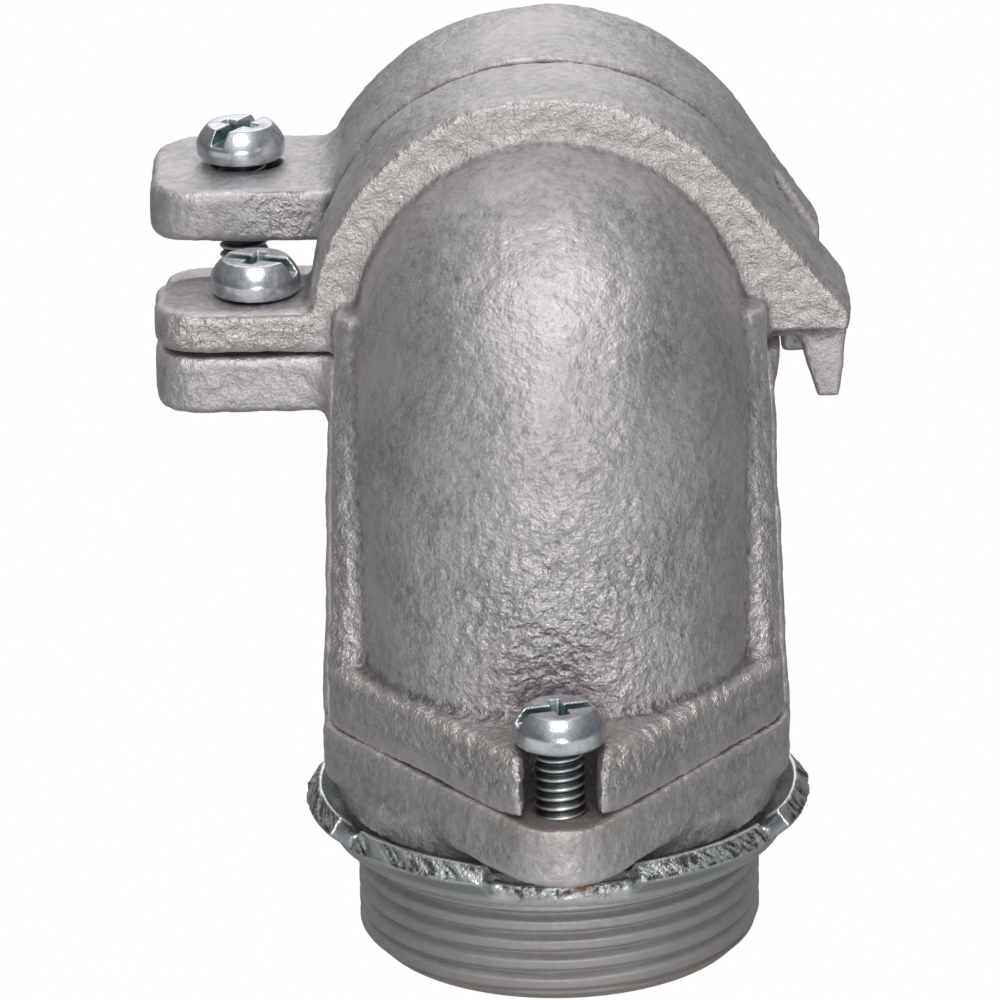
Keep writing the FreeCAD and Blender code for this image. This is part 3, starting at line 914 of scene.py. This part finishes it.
def floor_piece():
    """A wide pale floor that the connector stands on: white to the camera, greyer in metal, palest in front."""
    look = settings().stage
    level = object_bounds()[0].z
    wide, middle = 3.0, 0.01
    to_camera = 0.985
    behind, gain_in_front, front_reach = 0.26, 0.42, 0.07
    floor = linked(ring_mesh("floor", turned_rings([wide, middle], [level, level], 96), False))
    finish = new_finish("pale_floor")
    plain = finish.out("ShaderNodeBsdfDiffuse", 0, None, {"Color": solid(look.floor)})
    white = finish.out("ShaderNodeEmission", 0, None, {"Color": (1, 1, 1, 1), "Strength": 1.012})
    where = finish.node("ShaderNodeSeparateXYZ", None, {0: finish.place()})
    in_front = (0 - Link(finish, where.outputs["Y"])).between(0.0, front_reach)
    in_metal = seen_by(finish, "Glossy", "Transmission") * (behind + in_front * gain_in_front)
    share_of_white = seen_by(finish, "Camera") * to_camera + in_metal
    both = finish.out("ShaderNodeMixShader", 0, None, {0: share_of_white, 1: plain, 2: white})
    finish.node("ShaderNodeOutputMaterial", None, {"Surface": both})
    floor.data.materials.append(finish.owner)
    floor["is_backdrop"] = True


def studio_world():
    """White behind the connector, brightest overhead in metal and dimmer at both sides."""
    look = settings().stage
    world = bpy.data.worlds.new("studio")
    bpy.context.scene.world = world
    finish = Finish(world)
    way = finish.node("ShaderNodeSeparateXYZ", None, {0: finish.out("ShaderNodeTexCoord", "Generated")})
    across = Link(finish, way.outputs["X"])
    side = across.most(0 - across)
    overhead = Link(finish, way.outputs["Z"]).between(-0.1, 0.6)
    metal = (0.32 + overhead * 0.5) * (1 - side.between(0.2, 0.7) * look.side_dim)
    level = look.ambient + seen_by(finish, "Camera") * (1 - look.ambient)
    level = level + seen_by(finish, "Glossy", "Transmission") * (metal - look.ambient)
    back = finish.out("ShaderNodeBackground", 0, None, {"Color": (1, 1, 1, 1), "Strength": level})
    finish.node("ShaderNodeOutputWorld", None, {"Surface": back})


def lamp(name, place, size, power):
    """A round soft lamp aimed at the connector."""
    light = bpy.data.lights.new(name, "AREA")
    light.shape = "DISK"
    light.size = size
    light.energy = power
    made = bpy.data.objects.new(name, light)
    made.location = place
    aim = Vector(settings().stage.target) - Vector(place)
    made.rotation_euler = aim.to_track_quat("-Z", "Y").to_euler()
    bpy.context.scene.collection.objects.link(made)


def camera():
    """The camera at the photograph's place."""
    look = settings().stage
    ahead = Vector((0, math.cos(look.elevation), -math.sin(look.elevation)))
    right = Vector((1, 0, 0))
    up = right.cross(ahead)
    leaning_right = right * math.cos(look.roll) + up * math.sin(look.roll)
    leaning_up = up * math.cos(look.roll) - right * math.sin(look.roll)
    data = bpy.data.cameras.new("camera")
    data.sensor_fit = "HORIZONTAL"
    data.angle = look.field
    data.clip_start = 0.01
    made = bpy.data.objects.new("camera", data)
    place = Matrix((leaning_right, leaning_up, -ahead)).transposed().to_4x4()
    place.translation = Vector(look.target) - ahead * look.distance
    made.matrix_world = place
    bpy.context.scene.collection.objects.link(made)
    bpy.context.scene.camera = made


class CONNECTOR_OT_body(Operator):
    """Make the body casting with its threaded hub"""

    bl_idname = "connector.body"
    bl_label = "Body casting"

    def execute(self, context):
        body_casting()
        return {"FINISHED"}


class CONNECTOR_OT_cover(Operator):
    """Make the cover casting"""

    bl_idname = "connector.cover"
    bl_label = "Cover casting"

    def execute(self, context):
        cover_casting()
        return {"FINISHED"}


class CONNECTOR_OT_strap(Operator):
    """Make the strap casting"""

    bl_idname = "connector.strap"
    bl_label = "Strap casting"

    def execute(self, context):
        strap_casting()
        return {"FINISHED"}


class CONNECTOR_OT_locknut(Operator):
    """Make the stamped locknut"""

    bl_idname = "connector.locknut"
    bl_label = "Locknut"

    def execute(self, context):
        locknut()
        return {"FINISHED"}


class CONNECTOR_OT_screws(Operator):
    """Make the three plated screws"""

    bl_idname = "connector.screws"
    bl_label = "Screws"

    def execute(self, context):
        screw("cover_screw_front", "cover_screw_front", math.radians(15))
        screw("cover_screw_side", "cover_screw_side", math.radians(-20))
        screw("strap_screw", "strap_screw", math.radians(58))
        return {"FINISHED"}


class CONNECTOR_OT_stage(Operator):
    """Set the floor, the light and the camera"""

    bl_idname = "connector.stage"
    bl_label = "Stage"

    def execute(self, context):
        look = settings().stage
        context.scene.view_settings.view_transform = "Standard"
        floor_piece()
        studio_world()
        for name, (place, size, part) in LAMPS.items():
            lamp(name, place, size, look.lamp_power * part)
        camera()
        return {"FINISHED"}


class CONNECTOR_PT_panel(Panel):
    """The connector's pieces and settings"""

    bl_label = "Connector"
    bl_idname = "CONNECTOR_PT_panel"
    bl_space_type = "VIEW_3D"
    bl_region_type = "UI"
    bl_category = "Connector"

    def draw(self, context):
        for operator in OPERATORS:
            self.layout.operator(operator.bl_idname)
        for group in (settings().casting, settings().thread, settings().screw, settings().locknut,
                      settings().stage):
            box = self.layout.box()
            for name in group.__annotations__:
                box.prop(group, name)


OPERATORS = (CONNECTOR_OT_body, CONNECTOR_OT_cover, CONNECTOR_OT_strap, CONNECTOR_OT_locknut,
             CONNECTOR_OT_screws, CONNECTOR_OT_stage)
CLASSES = (CastingSettings, ThreadSettings, ScrewSettings, LocknutSettings, StageSettings, ConnectorSettings,
           *OPERATORS, CONNECTOR_PT_panel)


def register():
    for kind in CLASSES:
        bpy.utils.register_class(kind)
    bpy.types.Scene.connector = PointerProperty(type=ConnectorSettings)


def unregister():
    del bpy.types.Scene.connector
    for kind in reversed(CLASSES):
        bpy.utils.unregister_class(kind)


def main():
    register()
    bpy.ops.connector.body()
    bpy.ops.connector.cover()
    bpy.ops.connector.strap()
    bpy.ops.connector.locknut()
    bpy.ops.connector.screws()
    bpy.ops.connector.stage()


if __name__ == "__main__":
    main()
